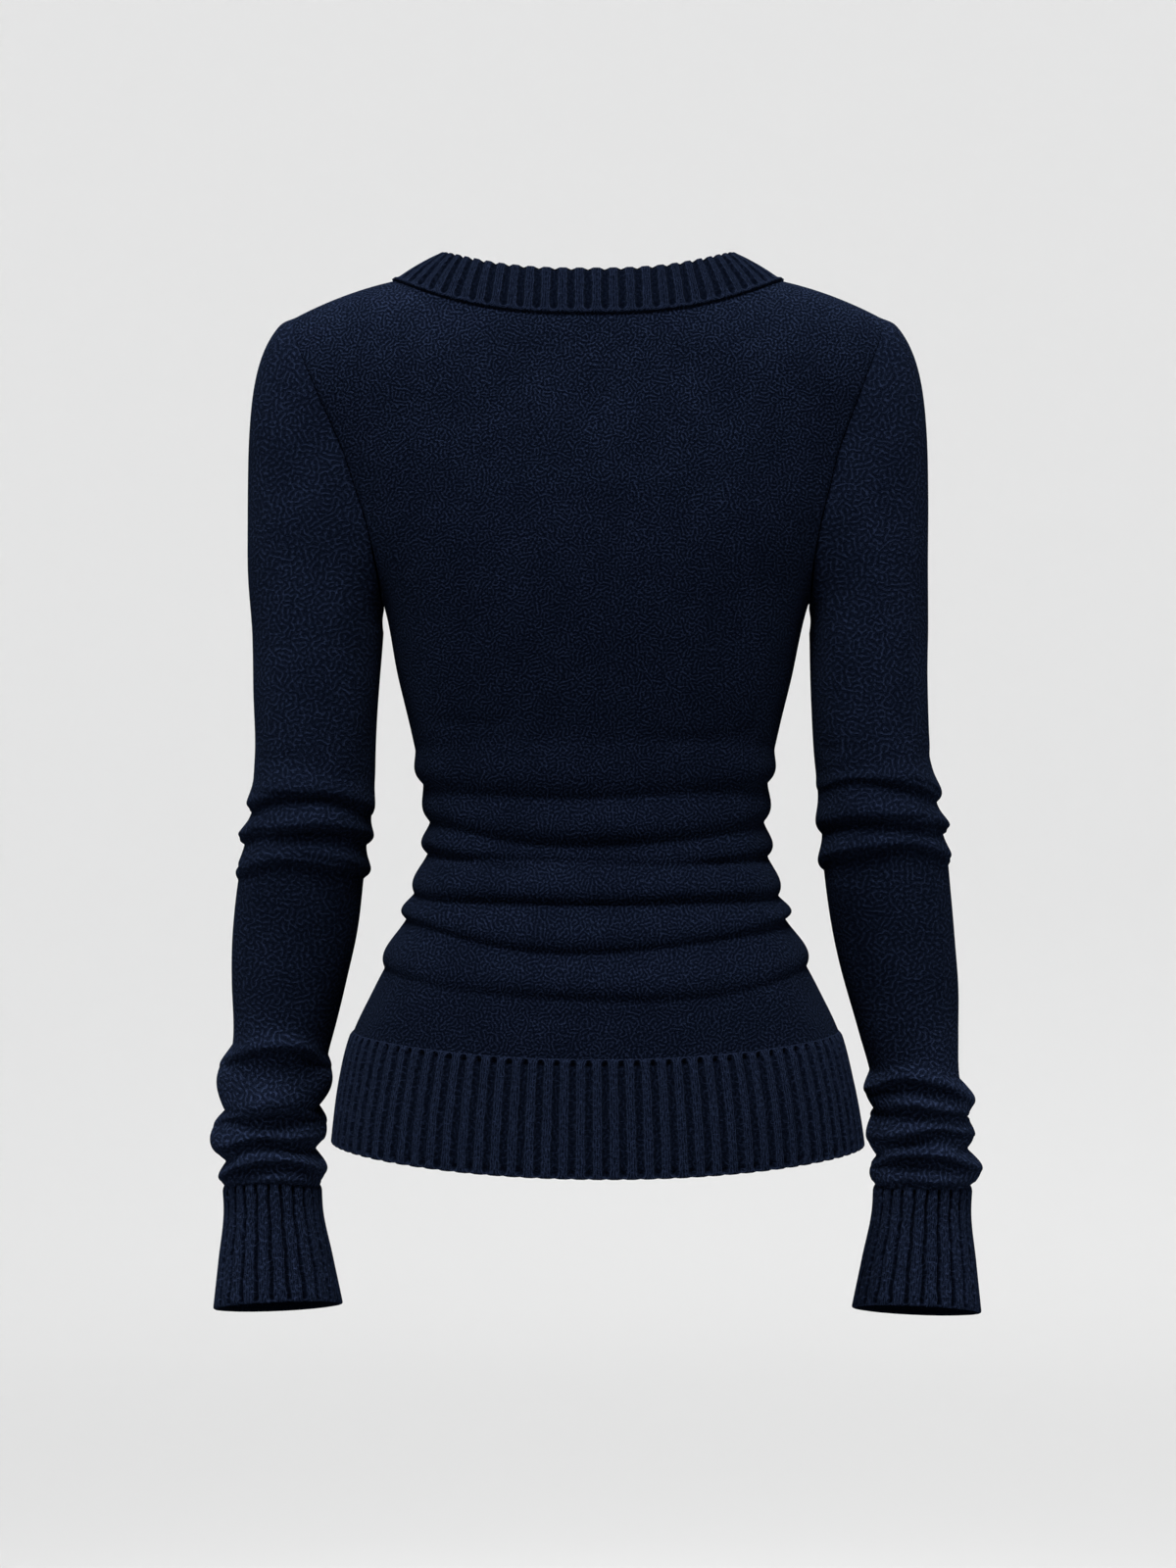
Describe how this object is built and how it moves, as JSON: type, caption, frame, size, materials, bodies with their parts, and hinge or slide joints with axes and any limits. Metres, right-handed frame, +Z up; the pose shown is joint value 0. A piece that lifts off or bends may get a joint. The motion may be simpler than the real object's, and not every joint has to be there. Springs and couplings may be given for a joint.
{
  "type": "wrap sweater",
  "caption": "Fitted wrap sweater in fine wool knit, filled out as worn, with crossed fronts, a ribbed neck band, long set-in sleeves, flared ribbed cuffs and a wide ribbed hem.",
  "frame": {"origin": "middle of the wearer between the shoulders, level with the points where the shoulder seams meet the neck", "axes": "+Z up, +X to the wearer's left, -Y out of the front and +Y out of the back"},
  "size_m": [0.4918, 0.2343, 0.6816],
  "materials": {
    "fine_knit": "matte navy wool in a fine plain knit, slightly fuzzy",
    "rib_knit": "matte navy wool in broad raised ribs"
  },
  "bodies": {
    "root": {"back": "fine_knit", "front_right": "fine_knit", "front_left": "fine_knit", "sleeve_left": "fine_knit", "sleeve_right": "fine_knit", "cuff_left": "rib_knit", "cuff_right": "rib_knit", "hem_band_back": "rib_knit", "hem_band_front": "rib_knit", "neckband_back": "rib_knit", "neckband_right": "rib_knit", "neckband_left": "rib_knit"}
  },
  "joints": []
}
